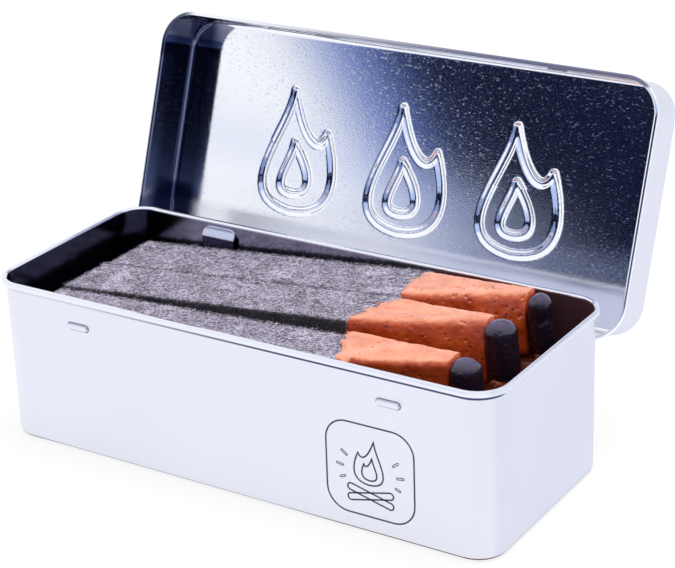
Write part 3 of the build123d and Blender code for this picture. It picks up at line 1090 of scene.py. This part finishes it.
def stamp_flames(points):
    """Raise a soft ridge along each flame and the drop inside it."""
    shapes = ((flame_line(FLAME_HEIGHT), FLAME_FOOT), (drop_line(DROP_HEIGHT), DROP_FOOT))
    flat = points[:, 2] > -SHEET - 0.001
    spots = points[flat, :2]
    rise = np.zeros(len(spots))
    for place in (-1, 0, 1):
        for shape, foot in shapes:
            line = np.array([place * FLAME_SPACING, foot]) - shape
            low = line.min(axis=0) - RELIEF_HALF
            high = line.max(axis=0) + RELIEF_HALF
            near = ((spots > low) & (spots < high)).all(axis=1)
            share = (RELIEF_HALF - line_distance(spots[near], line)) / RELIEF_RUN
            ridge = RELIEF_RISE * ease(np.clip(share, 0, 1))
            rise[near] = np.maximum(rise[near], ridge)
    points[flat, 2] += rise


def press_dimples(points):
    """Push the two dimples of the front skirt inward."""
    front = points[:, 1] < SHEET - LID_WIDTH / 2 + 0.01
    for side in (-1, 1):
        along = np.abs(points[:, 0] - side * NUB_SPACING / 2)
        along = np.maximum(along - DIMPLE_HALF, 0)
        up = points[:, 2] + LID_DEPTH - DIMPLE_UP
        share = (DIMPLE_REACH * DIMPLE_RADIUS - np.hypot(along, up)) / DIMPLE_RADIUS
        points[front, 1] += (DIMPLE_RISE * ease(np.clip(share, 0, 1)))[front]


def lid_faces(section, first_wall, roll_rows, outline):
    """Quads of the lid without those in the two windows, and which ones are outside."""
    around = len(outline)
    last_wall = first_wall + LID_WALL_ROWS + roll_rows
    mirror_row = last_wall + LID_WALL_ROWS - 1 + first_wall
    ahead = np.roll(outline, -1, axis=0)
    rear = np.minimum(outline[:, 1], ahead[:, 1]) > LID_WIDTH / 2 - 0.001
    place = np.abs(np.abs(outline[:, 0] + ahead[:, 0]) / 2 - STRAP_SPACING / 2)
    open_step = rear & (place < WINDOW_HALF)
    depth = LID_TOP - HINGE_Z - WINDOW_HEIGHT
    open_row = np.zeros(len(section), bool)
    for first in (first_wall, last_wall):
        rows = np.arange(first, first + LID_WALL_ROWS - 1)
        open_row[rows] = (section[rows, 1] + section[rows + 1, 1]) / 2 > depth
    faces = []
    looks = []
    for row in range(len(section) - 1):
        low = row * around
        high = low + around
        back = (mirror_row - row) * around
        inner_wall = row < last_wall - roll_rows and open_row[row]
        for step in range(around):
            after = (step + 1) % around
            if not (open_row[row] and open_step[step]):
                faces.append((low + step, low + after, high + after, high + step))
                looks.append(int(row >= last_wall))
            # cut edges of the windows, through the sheet
            if inner_wall and open_step[step] and not open_row[row - 1]:
                faces.append((low + step, low + after, back + after, back + step))
                looks.append(0)
            if inner_wall and open_step[step] != open_step[after]:
                faces.append((low + after, high + after, back + after - around, back + after))
                looks.append(0)
    return faces, looks


def make_lid():
    """Drawn lid with its bead, stamped flames, dimples, and windows round the strap knuckles."""
    section, first_wall, roll_rows = lid_section()
    outline = lid_ring(0.0)
    rings = []
    for out, down in section:
        rings.append(np.column_stack([lid_ring(out), np.full(len(outline), -down)]))
    points = np.concatenate(rings)
    stamp_flames(points)
    press_dimples(points)
    faces, looks = lid_faces(section, first_wall, roll_rows, outline)
    points += (0, LID_MIDDLE, LID_TOP)
    y = points[:, 1] - HINGE_Y
    z = points[:, 2] - HINGE_Z
    points[:, 1] = HINGE_Y + y * math.cos(LID_OPEN) + z * math.sin(LID_OPEN)
    points[:, 2] = HINGE_Z - y * math.sin(LID_OPEN) + z * math.cos(LID_OPEN)
    lid = mesh_object("lid_tray", points * MM, faces, lid_material())
    lid.data.materials.append(lid_outside_material())
    lid.data.polygons.foreach_set("material_index", looks)
    put(lid, "lid", "lid_tinplate", "lid_shell")


def outline_ribbon(line, width):
    """Left and right edges of a ribbon of even width along a closed line, and its faces."""
    before = unit_rows(line - np.roll(line, 1, axis=0))
    after = unit_rows(np.roll(line, -1, axis=0) - line)
    normal_before = np.column_stack([-before[:, 1], before[:, 0]])
    normal_after = np.column_stack([-after[:, 1], after[:, 0]])
    mitre = unit_rows(normal_before + normal_after)
    lean = np.maximum((mitre * normal_before).sum(axis=1), MITRE_FLOOR)
    shift = mitre * (np.minimum(1 / lean, MITRE_LIMIT) * width / 2)[:, None]
    count = len(line)
    points = np.concatenate([line - shift, line + shift])
    faces = [(i, (i + 1) % count, count + (i + 1) % count, count + i) for i in range(count)]
    return points, faces


def tilted_bar(length, height, angle):
    """Rounded bar turned by an angle, as a closed line."""
    spots = []
    for sign, start in ((1, -90), (-1, 90)):
        for step in range(13):
            turn = math.radians(start + 180 * step / 12)
            spots.append((sign * (length - height) / 2 + height / 2 * math.cos(turn),
                          height / 2 * math.sin(turn)))
    spots = np.array(spots)
    turn = math.radians(angle)
    return np.column_stack([spots[:, 0] * math.cos(turn) - spots[:, 1] * math.sin(turn),
                            spots[:, 0] * math.sin(turn) + spots[:, 1] * math.cos(turn)])


def make_emblem():
    """Plain camp fire in a rounded frame, printed on the front of the tin."""
    half = EMBLEM_SIZE / 2
    lines = [
        (rounded_ring(-half, half, -half, half, EMBLEM_CORNER, 160), EMBLEM_LINE),
        (flame_line(FIRE_HEIGHT) + FIRE_FOOT, EMBLEM_LINE),
        (flame_line(INNER_FIRE_HEIGHT) + INNER_FIRE_FOOT, EMBLEM_LINE),
        (tilted_bar(*LOG_SIZE, LOG_TILT) + LOG_PLACE, EMBLEM_LINE),
        (tilted_bar(*LOG_SIZE, -LOG_TILT) + LOG_PLACE, EMBLEM_LINE),
    ]
    for side in (-1, 1):
        for x, z, length, tilt in SPARKS:
            spark = tilted_bar(length, SPARK_HEIGHT, side * tilt)
            lines.append((spark + (side * x, z), SPARK_LINE))
    points = []
    faces = []
    for line, width in lines:
        spots, quads = outline_ribbon(line, width)
        base = len(points)
        points += [tuple(spot) for spot in spots]
        faces += [tuple(base + corner for corner in quad) for quad in quads]
    flat = np.array(points)
    depth = np.full(len(flat), -BODY_WIDTH / 2 - EMBLEM_PROUD)
    placed = np.column_stack([flat[:, 0] + EMBLEM_X, depth, flat[:, 1] + EMBLEM_Z]) * MM
    piece = mesh_object("front_print", placed, faces, print_material(), smooth=False)
    put(piece, "tin", "body_tinplate")


def make_stage():
    """Pale table that shows white to the camera and in reflections, and keeps the shadow."""
    size = TABLE_HALF
    corners = [(-size, -size, 0), (size, -size, 0), (size, size, 0), (-size, size, 0)]
    material, net = new_material("white_table")
    path = net.add("ShaderNodeLightPath")
    seen = net.math("ADD", path.outputs["Is Camera Ray"], path.outputs["Is Glossy Ray"])
    seen = net.math("ADD", seen, path.outputs["Is Transmission Ray"], clamp=True)
    glow = net.add("ShaderNodeEmission", {"Color": WHITE, "Strength": 1.0})
    matt = net.add("ShaderNodeBsdfDiffuse", {"Color": TABLE_TONE})
    net.finish(net.blend(net.product(seen, TABLE_WHITE_SHARE), matt, glow))
    table = mesh_object("table", corners, [(0, 1, 2, 3)], material, smooth=False)
    table.location.z = -TABLE_DROP


def mirrored_studio(net, x, y, z):
    """Colour of the surroundings in reflections: white left and rear, dark right, pale low down."""
    side = net.math("ADD", net.product(z, MIRROR_SLANT), x)
    dark = net.ramp(side, DARK_SPAN)
    blue = net.mix(net.ramp(side, BLUE_SPAN), WHITE, MIRROR_BLUE)
    mirror = net.mix(dark, blue, MIRROR_DARK)
    mirror = net.mix(net.product(net.ramp(z, GLOW_SPAN), dark, GLOW_SHARE), mirror, MIRROR_GLOW)
    band = net.product(net.ramp(z, BAND_TOP), net.ramp(z, BAND_FOOT),
                       net.ramp(x, BAND_RUN, 0.0, BAND_SHARE))
    mirror = net.mix(band, mirror, MIRROR_BAND)
    sky = net.mix(net.ramp(x, SKY_RUN), WHITE, MIRROR_SKY)
    sky = net.mix(net.ramp(z, SKY_TOP), sky, WHITE)
    mirror = net.mix(net.ramp(z, SKY_SPAN), mirror, sky)
    return net.mix(net.ramp(y, BEHIND_SPAN), mirror, WHITE)


def make_world():
    """White backdrop and soft even light, with its own surroundings for reflections."""
    world = bpy.data.worlds.new("studio")
    scene.world = world
    world.use_nodes = True
    net = Shader(world.node_tree)
    x, y, z = net.axes(net.add("ShaderNodeTexCoord").outputs["Generated"])
    path = net.add("ShaderNodeLightPath")
    seen = net.math("ADD", path.outputs["Is Camera Ray"], path.outputs["Is Transmission Ray"],
                    clamp=True)
    soft = net.math("ADD", net.ramp(y, SOFT_DEPTH, *SOFT_DEPTH_LIGHT),
                    net.ramp(z, SOFT_HEIGHT, 0.0, SOFT_HEIGHT_LIGHT))
    plain = net.add("ShaderNodeBackground", {"Color": WHITE, "Strength": soft})
    white = net.add("ShaderNodeBackground", {"Color": WHITE, "Strength": 1.0})
    gloss = net.add("ShaderNodeBackground", {"Color": mirrored_studio(net, x, y, z), "Strength": 1.0})
    direct = net.blend(seen, plain, white)
    net.finish(net.blend(path.outputs["Is Glossy Ray"], direct, gloss), "ShaderNodeOutputWorld")


make_camera()
make_world()
make_stage()
make_key_light()

set_material(nodes["tin_body"], tin_material())
make_lid()
strap = strap_material()
for side in ("left", "right"):
    set_material(nodes[f"hinge_strap_{side}"], strap)
board = striker_material("striker_board", BOARD_TONES, BOARD_NOISE)
grit = striker_material("striker_grit", GRIT_TONES, GRIT_NOISE)
set_material(nodes["striker_block"], board)
set_material(nodes["striker_surface"], grit)
make_sticks()
make_emblem()
